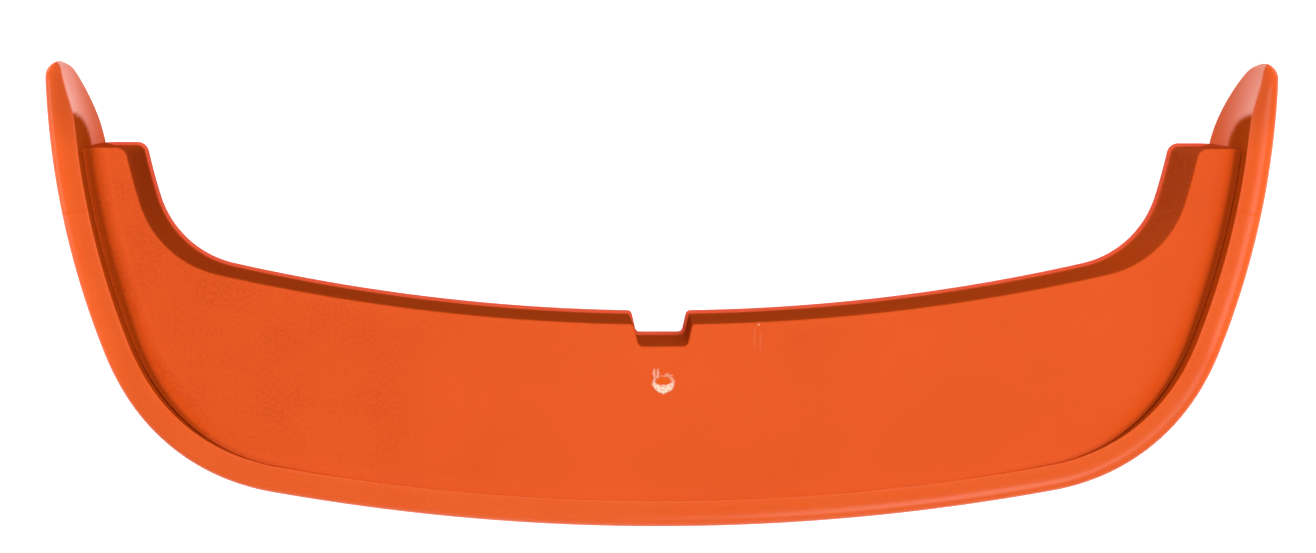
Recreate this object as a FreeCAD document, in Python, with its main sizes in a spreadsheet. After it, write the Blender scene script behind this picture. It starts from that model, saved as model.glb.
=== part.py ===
import FreeCAD, Part
import math
import os
import Sketcher
from FreeCAD import Placement, Rotation, Vector

# Moulded end guard of a scoop stretcher, in millimetres.
# The guard lies on its open back: +Z is the front face, +X the right arm, and the mouth of the U
# opens toward +Y. The origin is under the middle of the bounding box.
#
# Every curve of the plan is one of two families of parallel "smile" curves: a wide bottom arc, two
# corner arcs and two side arcs, each tangent to the next. Sketches measure Y from the lowest point
# of the outer curve, and each body's placement then moves it to the origin.

SIZES = [
    ("overall_height", 162.4, "Y, lowest point of the rim to the tips of the ears"),
    ("half_width", 215.0, "outer curve: half of the overall width"),
    ("widest_height", 164.0, "outer curve: Y of the centres of the side arcs"),
    ("bottom_radius", 762.0, "outer curve: radius of the wide bottom arc"),
    ("corner_radius", 76.5, "outer curve: radius of the corner arcs"),
    ("side_radius", 286.0, "outer curve: radius of the side arcs"),
    ("mouth_half_width", 192.4, "mouth curve: half width at its widest"),
    ("mouth_widest_height", 178.9, "mouth curve: Y of the centres of the side arcs"),
    ("mouth_bottom_height", 70.7, "mouth curve: Y of its lowest point"),
    ("mouth_bottom_radius", 705.0, "mouth curve: radius of the wide bottom arc"),
    ("mouth_corner_radius", 36.0, "mouth curve: radius of the corner arcs"),
    ("mouth_side_radius", 230.0, "mouth curve: radius of the side arcs"),
    ("shoulder_height", 132.5, "Y of the two shoulders"),
    ("shoulder_round", 4.0, "radius of the shoulder corners beside the mouth"),
    ("case_depth", 55.0, "Z of the front face of the panel"),
    ("panel_thickness", 3.0, "thickness of the front panel"),
    ("wall_thickness", 3.0, "thickness of every wall"),
    ("rim_width", 8.4, "width of the bead of the rim, seen from the front"),
    ("rim_gap", 0.1, "gap between the tray and the rim"),
    ("bead_depth", 15.0, "how far the bead reaches behind the front face"),
    ("rim_stand_low", 1.0, "how far the bead stands proud at the bottom"),
    ("rim_stand_high", 7.5, "how far the bead stands proud at the sides"),
    ("ramp_start", 6.0, "Y where the bead starts to rise"),
    ("ramp_end", 60.0, "Y where the bead has risen"),
    ("ear_round", 5.4, "radius of the tip of an ear, seen from the front"),
    ("ear_taper_height", 142.0, "Y above which the bead narrows toward the tip"),
    ("ear_tip_depth", 2.0, "how far the tip of an ear lies behind the front face"),
    ("ear_back_radius", 80.0, "radius of the back edge of an ear, seen from the side"),
    ("notch_depth", 7.8, "depth of the notch in the mouth"),
    ("notch_floor_half", 8.2, "half width of the floor of the notch"),
    ("notch_top_half", 10.6, "half width of the top of the notch"),
    ("gate_height", 50.8, "Y of the moulding gate mark"),
    ("gate_radius", 3.9, "radius of the gate mark"),
    ("gate_sink", 0.7, "depth of the gate mark"),
    ("boss_height", 45.0, "Y of the row of mounting bosses"),
    ("boss_spacing", 100.0, "spacing of the bosses along X"),
    ("boss_radius", 6.0, "radius of a mounting boss"),
    ("boss_floor", 4.0, "Z of the free end of a boss"),
    ("insert_radius", 3.2, "radius of a threaded insert"),
    ("insert_length", 8.0, "length of a threaded insert"),
    ("insert_bore", 2.1, "radius of the tapped bore, M5"),
    ("insert_groove", 0.4, "depth of the groove round an insert"),
    ("rib_thickness", 2.0, "thickness of a stiffening rib"),
    ("rib_floor", 34.0, "Z of the free edge of a rib"),
    ("arm_rib_height", 106.0, "Y of the rib across each arm"),
    ("screw_height", 45.5, "Z of the rim screws"),
    ("screw_radius", 1.5, "radius of a rim screw"),
    ("screw_reach", 9.0, "length of a rim screw under its head"),
    ("screw_head_radius", 2.9, "radius of the head of a rim screw"),
    ("screw_head_height", 1.9, "height of the head of a rim screw"),
    ("screw_clearance", 0.2, "radial clearance of a rim screw in the tray"),
    ("screw_socket_radius", 1.0, "radius of the drive recess of a rim screw"),
    ("screw_socket_depth", 1.0, "depth of the drive recess of a rim screw"),
]

# Which arc of the outer curve each right-hand rim screw sits on, and how far along it.
SCREW_PLACES = [("bottom", 0.30), ("bottom", 0.80), ("corner", 0.52), ("side", 0.30), ("side", 0.72)]

doc = FreeCAD.newDocument("stretcher_end_guard")
sheet = doc.addObject("Spreadsheet::Sheet", "Sizes")
finished = []


class Dim:
    """A length that keeps both its number and the sheet formula that gives it."""

    def __init__(self, value, text):
        self.value = value
        self.text = text

    def __add__(self, other):
        other = as_dim(other)
        return Dim(self.value + other.value, "(%s + %s)" % (self.text, other.text))

    def __sub__(self, other):
        other = as_dim(other)
        return Dim(self.value - other.value, "(%s - %s)" % (self.text, other.text))

    def __neg__(self):
        return Dim(-self.value, "(0 mm - %s)" % self.text)

    def __mul__(self, factor):
        return Dim(self.value * factor, "(%s * %s)" % (self.text, factor))


def as_dim(length):
    """Gives a plain number of millimetres as a Dim."""
    if isinstance(length, Dim):
        return length
    return Dim(float(length), "%s mm" % float(length))


def fill_sheet():
    """Writes the driving dimensions into the sheet and returns them as Dims by name."""
    dims = {}
    for row, (name, value, meaning) in enumerate(SIZES, start=1):
        sheet.set("A%d" % row, meaning)
        sheet.set("B%d" % row, str(value))
        sheet.setAlias("B%d" % row, name)
        dims[name] = Dim(value, "Sizes.%s * 1 mm" % name)
    doc.recompute()
    return dims


size = fill_sheet()


class Smile:
    """A family of parallel smile curves, given by the curve at offset 0.

    The bottom circle is centred on the Y axis and the side circle on the height of the widest
    point. The corner circle touches both from inside, so its centre is where two circles about
    those centres meet, with radii less by the corner radius.
    """

    def __init__(self, half_width, widest, lowest, bottom_radius, corner_radius, side_radius):
        self.radii = {"bottom": bottom_radius, "corner": corner_radius, "side": side_radius}
        self.bottom_height = lowest + bottom_radius
        self.side_inset = side_radius - half_width
        self.widest = widest
        bottom_centre = Vector(0, self.bottom_height.value, 0)
        side_centre = Vector(-self.side_inset.value, widest.value, 0)
        to_bottom = bottom_radius.value - corner_radius.value
        to_side = side_radius.value - corner_radius.value
        span = side_centre - bottom_centre
        along = (to_bottom ** 2 - to_side ** 2 + span.Length ** 2) / (2 * span.Length)
        across = math.sqrt(to_bottom ** 2 - along ** 2)
        unit = Vector(span).normalize()
        square = Vector(unit.y, -unit.x, 0)
        choices = [bottom_centre + unit * along + square * (sign * across) for sign in (-1, 1)]
        corner_centre = max(choices, key=lambda point: point.x)
        self.centres = {"bottom": bottom_centre, "corner": corner_centre, "side": side_centre}
        self.low_angle = heading(corner_centre - bottom_centre)
        self.high_angle = heading(corner_centre - side_centre)

    def end_angle(self, offset, top):
        """Angle at which the right side arc reaches the height top."""
        rise = top.value - self.centres["side"].y
        return math.asin(rise / (self.radii["side"] - offset).value)

    def place(self, arc, fraction, offset):
        """Point on the right half, a fraction along an arc, and the outward direction there."""
        starts = {"bottom": -math.pi / 2, "corner": self.low_angle, "side": self.high_angle}
        ends = {"bottom": self.low_angle, "corner": self.high_angle}
        ends["side"] = self.end_angle(offset, size["shoulder_height"])
        angle = starts[arc] + fraction * (ends[arc] - starts[arc])
        outward = Vector(math.cos(angle), math.sin(angle), 0)
        return self.centres[arc] + outward * (self.radii[arc] - offset).value, outward


def heading(direction):
    """Angle of a direction in the plan."""
    return math.atan2(direction.y, direction.x)


class Pen:
    """Draws constrained outlines in one sketch and binds their lengths to the sheet."""

    def __init__(self, body, name, plane, level=None):
        self.sketch = body.newObject("Sketcher::SketchObject", name)
        for feature in body.Origin.OriginFeatures:
            if feature.Role == plane:
                self.sketch.AttachmentSupport = [(feature, "")]
        self.sketch.MapMode = "FlatFace"
        if level is not None:
            self.sketch.setExpression("AttachmentOffset.Base.z", level.text)
        doc.recompute()

    def tie(self, *rule):
        """Adds a constraint that holds no length."""
        self.sketch.addConstraint(Sketcher.Constraint(*rule))

    def measure(self, length, *rule):
        """Adds a constraint whose length comes from the sheet."""
        index = self.sketch.addConstraint(Sketcher.Constraint(*rule, length.value))
        name = "length_%d" % index
        self.sketch.renameConstraint(index, name)
        self.sketch.setExpression("Constraints." + name, length.text)

    def at(self, geometry, point, across, up):
        """Fixes a point of a piece of geometry at a place measured from the origin."""
        for kind, length in (("DistanceX", across), ("DistanceY", up)):
            if length.value < 0:
                self.measure(-length, kind, geometry, point, -1, 1)
            else:
                self.measure(length, kind, -1, 1, geometry, point)

    def smile(self, family, offset, top):
        """Adds the five tangent arcs of a smile curve, left to right, ending at the height top."""
        low, high = family.low_angle, family.high_angle
        last = family.end_angle(offset, top)
        turn = math.pi
        spans = [
            ("side", turn - last, turn - high, -1),
            ("corner", turn - high, turn - low, -1),
            ("bottom", turn - low - 2 * turn, low, 1),
            ("corner", low, high, 1),
            ("side", high, last, 1),
        ]
        arcs = []
        for arc, start, end, side in spans:
            middle = family.centres[arc]
            centre = Vector(side * middle.x, middle.y, 0)
            circle = Part.Circle(centre, Vector(0, 0, 1), (family.radii[arc] - offset).value)
            arcs.append(self.sketch.addGeometry(Part.ArcOfCircle(circle, start, end)))
        for before, after in zip(arcs, arcs[1:]):
            self.tie("Tangent", before, 2, after, 1)
        for arc, kind in zip(arcs[2:], ("bottom", "corner", "side")):
            self.measure(family.radii[kind] - offset, "Radius", arc)
        self.tie("Equal", arcs[1], arcs[3])
        self.tie("Equal", arcs[0], arcs[4])
        self.tie("PointOnObject", arcs[2], 3, -2)
        self.measure(family.bottom_height, "DistanceY", -1, 1, arcs[2], 3)
        self.measure(family.side_inset, "DistanceX", arcs[4], 3, -1, 1)
        self.measure(family.widest, "DistanceY", -1, 1, arcs[4], 3)
        self.tie("Symmetric", arcs[0], 3, arcs[4], 3, -2)
        return arcs

    def end(self, geometry, point):
        """Place of an end point of a piece of geometry."""
        return self.sketch.getPoint(geometry, point)

    def line(self, first, second):
        """Joins two end points with a line."""
        segment = Part.LineSegment(self.end(*first), self.end(*second))
        line = self.sketch.addGeometry(segment)
        self.tie("Coincident", line, 1, *first)
        self.tie("Coincident", line, 2, *second)
        return line

    def horseshoe(self, outer, outer_offset, inner, inner_offset, top):
        """Closed outline between two smile curves, cut off level at the height top."""
        outside = self.smile(outer, as_dim(outer_offset), top)
        inside = self.smile(inner, as_dim(inner_offset), top)
        for out_end, in_end in (((outside[0], 1), (inside[0], 1)), ((outside[4], 2), (inside[4], 2))):
            self.tie("Horizontal", self.line(out_end, in_end))
            self.measure(top, "DistanceY", -1, 1, *out_end)

    def polygon(self, corners):
        """Closed outline of straight lines through corners given as pairs of Dims."""
        points = [Vector(across.value, up.value, 0) for across, up in corners]
        lines = []
        for here, there in zip(points, points[1:] + points[:1]):
            lines.append(self.sketch.addGeometry(Part.LineSegment(here, there)))
        for index, line in enumerate(lines):
            self.tie("Coincident", line, 2, lines[(index + 1) % len(lines)], 1)
            self.at(line, 1, *corners[index])

    def circle(self, across, up, radius):
        """A full circle."""
        middle = Vector(across.value, up.value, 0)
        ring = self.sketch.addGeometry(Part.Circle(middle, Vector(0, 0, 1), radius.value))
        self.at(ring, 3, across, up)
        self.measure(radius, "Radius", ring)


def new_body(label):
    """Starts a body under its node's name."""
    body = doc.addObject("PartDesign::Body", label)
    body.Label = label
    return body


def settle(body):
    """Moves a body from the sketches' datum to the model's origin."""
    body.setExpression("Placement.Base.y", "0 mm - Sizes.overall_height * 0.5 mm")
    doc.recompute()


def pad(body, pen, length, name, backwards=False):
    """Adds material along the sketch's normal."""
    feature = body.newObject("PartDesign::Pad", name)
    feature.Profile = pen.sketch
    feature.setExpression("Length", length.text)
    feature.Reversed = backwards
    body.Tip = feature
    doc.recompute()
    return feature


def pocket(body, pen, name, length=None, backwards=False):
    """Removes material, through everything both ways if no length is given, and checks that it did."""
    before = body.Shape.Volume
    feature = body.newObject("PartDesign::Pocket", name)
    feature.Profile = pen.sketch
    if length is None:
        feature.Type = 1
        feature.Midplane = True
    else:
        feature.setExpression("Length", length.text)
        feature.Reversed = backwards
    body.Tip = feature
    doc.recompute()
    if not body.Shape.Volume < before - 1e-3:
        raise RuntimeError(name + " removed nothing")
    return feature


def fillet(body, edges, radius, name):
    """Rounds the named edges of the body's tip."""
    base = body.Tip
    feature = body.newObject("PartDesign::Fillet", name)
    feature.Base = (base, edges)
    feature.setExpression("Radius", radius.text)
    body.Tip = feature
    doc.recompute()
    return feature


def edges_where(shape, wanted):
    """Names of the edges for which wanted(edge) holds."""
    return ["Edge%d" % number for number, edge in enumerate(shape.Edges, start=1) if wanted(edge)]


outer_curve = Smile(
    size["half_width"], size["widest_height"], as_dim(0),
    size["bottom_radius"], size["corner_radius"], size["side_radius"],
)
mouth_curve = Smile(
    size["mouth_half_width"], size["mouth_widest_height"], size["mouth_bottom_height"],
    size["mouth_bottom_radius"], size["mouth_corner_radius"], size["mouth_side_radius"],
)
panel_back = size["case_depth"] - size["panel_thickness"]
tray_edge = size["rim_width"] + size["rim_gap"]


def screw_places():
    """Head-side point and outward direction of every rim screw, in the sketches' datum."""
    under_head = tray_edge + size["wall_thickness"]
    places = []
    for arc, fraction in SCREW_PLACES:
        point, outward = outer_curve.place(arc, fraction, under_head)
        point.z = size["screw_height"].value
        for side in (1, -1):
            places.append((Vector(side * point.x, point.y, point.z),
                           Vector(side * outward.x, outward.y, 0)))
    return places


def boss_columns():
    """X of the four mounting bosses."""
    spacing = size["boss_spacing"]
    return [spacing * -1.5, spacing * -0.5, spacing * 0.5, spacing * 1.5]


def drill(base, label, radius, start, length):
    """Cuts a hole along every rim screw, from start to start + length past the underside of its head."""
    tools = []
    for number, (point, outward) in enumerate(screw_places(), start=1):
        hole = doc.addObject("Part::Cylinder", "%s_hole_%02d" % (label, number))
        hole.setExpression("Radius", radius.text)
        hole.setExpression("Height", length.text)
        datum = Vector(0, -size["overall_height"].value / 2, 0)
        hole.Placement = Placement(
            point + outward * start.value + datum, Rotation(Vector(0, 0, 1), outward))
        tools.append(hole)
    fuse = doc.addObject("Part::MultiFuse", label + "_holes")
    fuse.Shapes = tools
    cut = doc.addObject("Part::Cut", label)
    cut.Base = base
    cut.Tool = fuse
    cut.Label = label
    doc.recompute()
    if not cut.Shape.Volume < base.Shape.Volume:
        raise RuntimeError(label + " was not drilled")
    finished.append(cut)


def make_tray():
    """Front panel with its mouth flange, end walls and outer skirt, open at the back."""
    body = new_body("tray_moulding")
    pen = Pen(body, "tray_plan", "XY_Plane")
    pen.horseshoe(outer_curve, tray_edge, mouth_curve, 0, size["shoulder_height"])
    pad(body, pen, size["case_depth"], "tray_block")

    pen = Pen(body, "tray_hollow_plan", "XY_Plane")
    wall = size["wall_thickness"]
    pen.horseshoe(outer_curve, tray_edge + wall, mouth_curve, -wall, size["shoulder_height"] - wall)
    pocket(body, pen, "tray_hollow", panel_back, backwards=True)

    corners = edges_where(body.Shape, is_shoulder_corner)
    fillet(body, corners, size["shoulder_round"], "shoulder_rounds")

    for grown, name in ((size["wall_thickness"], "notch_wall"), (as_dim(0), "notch")):
        pen = Pen(body, name + "_plan", "XY_Plane")
        floor = size["mouth_bottom_height"] - size["notch_depth"] - grown
        top = size["mouth_bottom_height"] + (-1 if grown.value else 2)
        pen.polygon([
            (-(size["notch_floor_half"] + grown), floor), (size["notch_floor_half"] + grown, floor),
            (size["notch_top_half"] + grown, top), (-(size["notch_top_half"] + grown), top),
        ])
        if grown.value:
            pad(body, pen, panel_back + 1, name)
        else:
            pocket(body, pen, name)

    pen = Pen(body, "rib_plan", "XY_Plane", size["rib_floor"])
    half = size["rib_thickness"] * 0.5
    for column in boss_columns():
        low, high = rib_ends(abs(column.value))
        pen.polygon([
            (column - half, low), (column + half, low), (column + half, high), (column - half, high)])
    for side in (-1, 1):
        near, far = arm_rib_ends()
        level = size["arm_rib_height"]
        pen.polygon([
            (near * side, level - half), (far * side, level - half),
            (far * side, level + half), (near * side, level + half)])
    pad(body, pen, panel_back + 1 - size["rib_floor"], "ribs")

    pen = Pen(body, "boss_plan", "XY_Plane", size["boss_floor"])
    for column in boss_columns():
        pen.circle(column, size["boss_height"], size["boss_radius"])
    pad(body, pen, panel_back + 1 - size["boss_floor"], "bosses")

    pen = Pen(body, "insert_hole_plan", "XY_Plane", size["boss_floor"])
    for column in boss_columns():
        pen.circle(column, size["boss_height"], size["insert_radius"])
    pocket(body, pen, "insert_holes", size["insert_length"], backwards=True)

    pen = Pen(body, "gate_plan", "XY_Plane", size["case_depth"])
    pen.circle(as_dim(0), size["gate_height"], size["gate_radius"])
    pocket(body, pen, "gate_mark", size["gate_sink"])

    settle(body)
    drill(body, "front_tray", size["screw_radius"] + size["screw_clearance"],
          as_dim(-1), size["wall_thickness"] + 2)


def is_shoulder_corner(edge):
    """True for the two upright outside edges where the mouth meets the shoulders."""
    top = size["shoulder_height"].value
    ends = [vertex.Point for vertex in edge.Vertexes]
    if len(ends) != 2 or any(abs(point.y - top) > 1e-3 for point in ends):
        return False
    upright = abs(ends[0].z - ends[1].z) > 1
    mouth_side = abs(ends[0].x) < size["mouth_half_width"].value
    return upright and mouth_side


def rib_ends(column):
    """Y of both ends of a rib across the panel, sunk half-way into the two walls."""
    sink = size["wall_thickness"].value / 2
    reach = size["bottom_radius"] - tray_edge - sink
    low = outer_curve.bottom_height.value - math.sqrt(reach.value ** 2 - column ** 2)
    centre, radius = outer_curve.centres["corner"], size["corner_radius"] - tray_edge - sink
    if column > centre.x + radius.value * math.cos(outer_curve.low_angle):
        low = centre.y - math.sqrt(radius.value ** 2 - (column - centre.x) ** 2)
    mouth = (size["mouth_bottom_radius"] + sink).value
    high = mouth_curve.bottom_height.value - math.sqrt(mouth ** 2 - column ** 2)
    return as_dim(low), as_dim(high)


def arm_rib_ends():
    """X of both ends of the rib across an arm, sunk half-way into the two walls."""
    sink = size["wall_thickness"].value / 2
    level = size["arm_rib_height"].value
    centre, radius = mouth_curve.centres["corner"], (size["mouth_corner_radius"] + sink).value
    near = centre.x + math.sqrt(radius ** 2 - (level - centre.y) ** 2)
    centre, radius = outer_curve.centres["side"], (size["side_radius"] - tray_edge - sink).value
    far = centre.x + math.sqrt(radius ** 2 - (level - centre.y) ** 2)
    return as_dim(near), as_dim(far)


def make_rim():
    """Bumper rim: a bead round the tray on a thin wall, which runs up into an ear at each end."""
    body = new_body("rim_moulding")
    front = size["case_depth"]
    pen = Pen(body, "rim_plan", "XY_Plane")
    draw_rim_plan(pen)
    pad(body, pen, front + size["rim_stand_high"], "rim_block")

    pen = Pen(body, "rim_undercut_plan", "XY_Plane")
    beyond = size["overall_height"] - 0.5
    pen.horseshoe(outer_curve, -5, outer_curve, size["rim_width"] - size["wall_thickness"], beyond)
    pocket(body, pen, "rim_undercut", front - size["bead_depth"], backwards=True)

    pen = Pen(body, "rim_front_side_view", "YZ_Plane")
    low = front + size["rim_stand_low"]
    high = front + size["rim_stand_high"]
    pen.polygon([
        (as_dim(-10), low), (size["ramp_start"], low), (size["ramp_end"], high),
        (size["ramp_end"], high + 10), (as_dim(-10), high + 10)])
    pocket(body, pen, "rim_front_slope")

    pen = Pen(body, "ear_side_view", "YZ_Plane")
    draw_ear_side(pen)
    pocket(body, pen, "ear_backs")

    settle(body)
    drill(body, "bumper_rim", size["screw_radius"],
          size["wall_thickness"], size["screw_reach"] - size["wall_thickness"])


def draw_rim_plan(pen):
    """Outline of the bead: two parallel smile curves, joined at each ear by a round tip and a taper."""
    tip_top = size["overall_height"]
    tip_round = size["ear_round"]
    outside = pen.smile(outer_curve, as_dim(0), tip_top - tip_round)
    inside = pen.smile(outer_curve, size["rim_width"], size["ear_taper_height"])
    side = outer_curve.centres["side"]
    level = (tip_top - tip_round).value
    turn = math.asin((level - side.y) / (size["side_radius"] - tip_round).value)
    across = side.x + (size["side_radius"] - tip_round).value * math.cos(turn)
    tips = []
    for sign, start, end in ((-1, math.pi / 2, math.pi - turn), (1, turn, math.pi / 2)):
        circle = Part.Circle(Vector(sign * across, level, 0), Vector(0, 0, 1), tip_round.value)
        tips.append(pen.sketch.addGeometry(Part.ArcOfCircle(circle, start, end)))
    pen.tie("Tangent", outside[0], 1, tips[0], 2)
    pen.tie("Tangent", outside[4], 2, tips[1], 1)
    for tip, top, taper in ((tips[0], 1, (inside[0], 1)), (tips[1], 2, (inside[4], 2))):
        pen.measure(tip_round, "Radius", tip)
        pen.tie("Vertical", tip, 3, tip, top)
        pen.measure(tip_top, "DistanceY", -1, 1, tip, top)
        pen.line((tip, top), taper)
        pen.measure(size["ear_taper_height"], "DistanceY", -1, 1, *taper)


def draw_ear_side(pen):
    """Waste behind the ears: bounded by the arc of their back edge, from the shoulder to the tip."""
    foot = Vector(size["shoulder_height"].value, 0, 0)
    tip = Vector(size["overall_height"].value, (size["case_depth"] - size["ear_tip_depth"]).value, 0)
    chord = tip - foot
    rise = math.sqrt(size["ear_back_radius"].value ** 2 - chord.Length ** 2 / 4)
    centre = (foot + tip) * 0.5 + Vector(-chord.y, chord.x, 0).normalize() * rise
    circle = Part.Circle(centre, Vector(0, 0, 1), size["ear_back_radius"].value)
    start, end = heading(foot - centre), heading(tip - centre)
    arc = pen.sketch.addGeometry(Part.ArcOfCircle(circle, start, end))
    pen.measure(size["ear_back_radius"], "Radius", arc)
    pen.at(arc, 1, size["shoulder_height"], as_dim(0))
    pen.at(arc, 2, size["overall_height"], size["case_depth"] - size["ear_tip_depth"])
    margin = 10
    corners = [
        (size["overall_height"] + margin, size["case_depth"] - size["ear_tip_depth"]),
        (size["overall_height"] + margin, as_dim(-margin)),
        (size["shoulder_height"], as_dim(-margin)),
    ]
    points = [tip] + [Vector(across.value, up.value, 0) for across, up in corners] + [foot]
    lines = [pen.sketch.addGeometry(Part.LineSegment(a, b)) for a, b in zip(points, points[1:])]
    pen.tie("Coincident", arc, 2, lines[0], 1)
    for line, after, corner in zip(lines, lines[1:], corners):
        pen.tie("Coincident", line, 2, after, 1)
        pen.at(line, 2, *corner)
    pen.tie("Coincident", lines[-1], 2, arc, 1)


def make_insert(number, column):
    """Threaded insert: a sleeve with one groove round its middle, standing in a boss."""
    body = new_body("threaded_insert_%d" % number)
    pen = Pen(body, "insert_%d_profile" % number, "XZ_Plane")
    length = size["insert_length"]
    radius = size["insert_radius"]
    neck = radius - size["insert_groove"]
    bore = size["insert_bore"]
    pen.polygon([
        (bore, as_dim(0)), (radius, as_dim(0)), (radius, length * 0.4), (neck, length * 0.4),
        (neck, length * 0.6), (radius, length * 0.6), (radius, length), (bore, length)])
    feature = body.newObject("PartDesign::Revolution", "insert_%d_turned" % number)
    feature.Profile = pen.sketch
    feature.ReferenceAxis = (pen.sketch, ["V_Axis"])
    feature.Angle = 360.0
    body.Tip = feature
    body.setExpression("Placement.Base.x", column.text)
    body.setExpression("Placement.Base.y", (size["boss_height"] - size["overall_height"] * 0.5).text)
    body.setExpression("Placement.Base.z", size["boss_floor"].text)
    doc.recompute()
    finished.append(body)


def make_screw(number, point, outward):
    """Pan-headed thread-forming screw with a drive recess, pointing outward through the tray."""
    body = new_body("rim_screw_%02d" % number)
    pen = Pen(body, "screw_%02d_profile" % number, "XZ_Plane")
    shank, head = size["screw_radius"], size["screw_head_radius"]
    point_start = size["screw_reach"] - size["screw_radius"]
    back = -size["screw_head_height"]
    chamfer = size["screw_head_height"] * 0.35
    recess = size["screw_socket_radius"]
    recess_floor = back + size["screw_socket_depth"]
    pen.polygon([
        (as_dim(0), recess_floor), (recess, recess_floor), (recess, back), (head - chamfer, back),
        (head, back + chamfer), (head, as_dim(0)), (shank, as_dim(0)), (shank, point_start),
        (shank * 0.4, size["screw_reach"]), (as_dim(0), size["screw_reach"])])
    feature = body.newObject("PartDesign::Revolution", "screw_%02d_turned" % number)
    feature.Profile = pen.sketch
    feature.ReferenceAxis = (pen.sketch, ["V_Axis"])
    feature.Angle = 360.0
    body.Tip = feature
    datum = Vector(0, -size["overall_height"].value / 2, 0)
    body.Placement = Placement(point + datum, Rotation(Vector(0, 0, 1), outward))
    doc.recompute()
    finished.append(body)


def check_document():
    """Stops if any object failed or any sub-part is empty, broken or not one solid."""
    for item in doc.Objects:
        if "Invalid" in item.State or "Error" in item.State:
            raise RuntimeError("%s failed: %s" % (item.Label, item.State))
    for item in finished:
        shape = item.Shape
        if shape.isNull() or not shape.isValid() or len(shape.Solids) != 1:
            raise RuntimeError("%s has a bad shape" % item.Label)


def write_parts():
    """Writes each sub-part to its own STEP file."""
    os.makedirs("parts", exist_ok=True)
    for item in finished:
        item.Shape.exportStep("parts/%s.step" % item.Label)
        box = item.Shape.BoundBox
        print("%-20s %9.1f mm3  x %.1f %.1f  y %.1f %.1f  z %.1f %.1f" % (
            item.Label, item.Shape.Volume, box.XMin, box.XMax, box.YMin, box.YMax, box.ZMin, box.ZMax))


make_tray()
make_rim()
for number, column in enumerate(boss_columns(), start=1):
    make_insert(number, column)
for number, (point, outward) in enumerate(screw_places(), start=1):
    make_screw(number, point, outward)
doc.recompute()
check_document()
write_parts()
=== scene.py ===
import math

import bpy
import numpy as np
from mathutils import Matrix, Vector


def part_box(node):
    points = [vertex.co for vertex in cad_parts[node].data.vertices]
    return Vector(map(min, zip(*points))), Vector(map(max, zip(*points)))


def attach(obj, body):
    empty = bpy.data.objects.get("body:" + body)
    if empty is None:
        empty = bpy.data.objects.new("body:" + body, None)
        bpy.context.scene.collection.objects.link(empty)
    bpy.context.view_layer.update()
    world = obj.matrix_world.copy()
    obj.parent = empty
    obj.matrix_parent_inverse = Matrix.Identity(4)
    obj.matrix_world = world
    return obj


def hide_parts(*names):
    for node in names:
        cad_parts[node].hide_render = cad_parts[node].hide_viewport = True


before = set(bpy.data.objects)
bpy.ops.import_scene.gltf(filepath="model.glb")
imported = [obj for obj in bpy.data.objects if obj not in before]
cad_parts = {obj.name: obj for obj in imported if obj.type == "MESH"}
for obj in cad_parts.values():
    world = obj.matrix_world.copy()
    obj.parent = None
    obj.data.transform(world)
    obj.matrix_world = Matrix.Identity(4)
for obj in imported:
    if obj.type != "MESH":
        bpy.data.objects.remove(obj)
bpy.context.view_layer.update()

# Moulded end guard of a scoop stretcher, lying on its open back, in metres.
# Every curve of the plan belongs to one of two families of parallel "smile" curves: a wide bottom
# arc, two corner arcs and two side arcs. The tray and the rim are profiles carried along them.

MM = 0.001
TRAY_LOW, TRAY_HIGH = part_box("front_tray")
RIM_LOW, RIM_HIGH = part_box("bumper_rim")
DATUM = RIM_LOW.y
PANEL_TOP = TRAY_HIGH.z
SHOULDER = TRAY_HIGH.y
EAR_TOP = RIM_HIGH.y
BEAD_TOP = RIM_HIGH.z

BOTTOM_RADIUS = 762 * MM
CORNER_RADIUS = 76.5 * MM
SIDE_RADIUS = 286 * MM
HALF_WIDTH = 215 * MM
WIDEST = DATUM + 164 * MM
MOUTH_BOTTOM_RADIUS = 705 * MM
MOUTH_CORNER_RADIUS = 36 * MM
MOUTH_SIDE_RADIUS = 230 * MM
MOUTH_HALF_WIDTH = 192.4 * MM
MOUTH_WIDEST = DATUM + 178.9 * MM
MOUTH_LOWEST = DATUM + 70.7 * MM

WALL = 3 * MM
RIM_WIDTH = 8.4 * MM
RIM_GAP = 0.03 * MM
RIM_DRAFT = 2.2 * MM
BEAD_FLOOR = PANEL_TOP - 15 * MM
CROWN_DROP = 4.2 * MM
CROWN_SQUARENESS = 2.5
SEAM_Y = DATUM + 109 * MM
INNER_RINGS = 14
SIDE_INSET = 1.9 * MM
LEDGE = 1.1 * MM
GUTTER_WIDTH = 8.5 * MM
GUTTER_DEPTH = 1.5 * MM
NOTCH_DEPTH = 7.8 * MM
NOTCH_FLOOR_HALF = 8.5 * MM
NOTCH_TOP_HALF = 10.3 * MM
NOTCH_SHIFT = 0.5 * MM
GATE = np.array([-0.4 * MM, DATUM + 50.6 * MM])
BOSS_Y = DATUM + 45 * MM
BOSS_COLUMNS = [column * MM for column in (-150, -50, 50, 150)]
BOSS_RADIUS = 6 * MM
BOSS_FLOOR = 4 * MM
INSERT_RADIUS = 3.2 * MM
INSERT_LENGTH = 8 * MM
RIB_FLOOR = 34 * MM
RIB_THICKNESS = 2 * MM
ARM_RIB_Y = DATUM + 106 * MM
SUNK_TOP = PANEL_TOP - WALL + 0.6 * MM


# ---------------------------------------------------------------- shapes in the plan

def smooth(low, high, value):
    """Rises from 0 to 1 between low and high, level at both ends."""
    t = np.clip((value - low) / (high - low), 0, 1)
    return t * t * (3 - 2 * t)


def spread(count, density):
    """Values from 0 to 1 that lie closer together where density(value) is larger."""
    fine = np.linspace(0, 1, 4001)
    weight = density(fine)
    total = np.concatenate([[0], np.cumsum((weight[1:] + weight[:-1]) / 2)])
    return np.interp(np.linspace(0, total[-1], count), total, fine)


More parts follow.
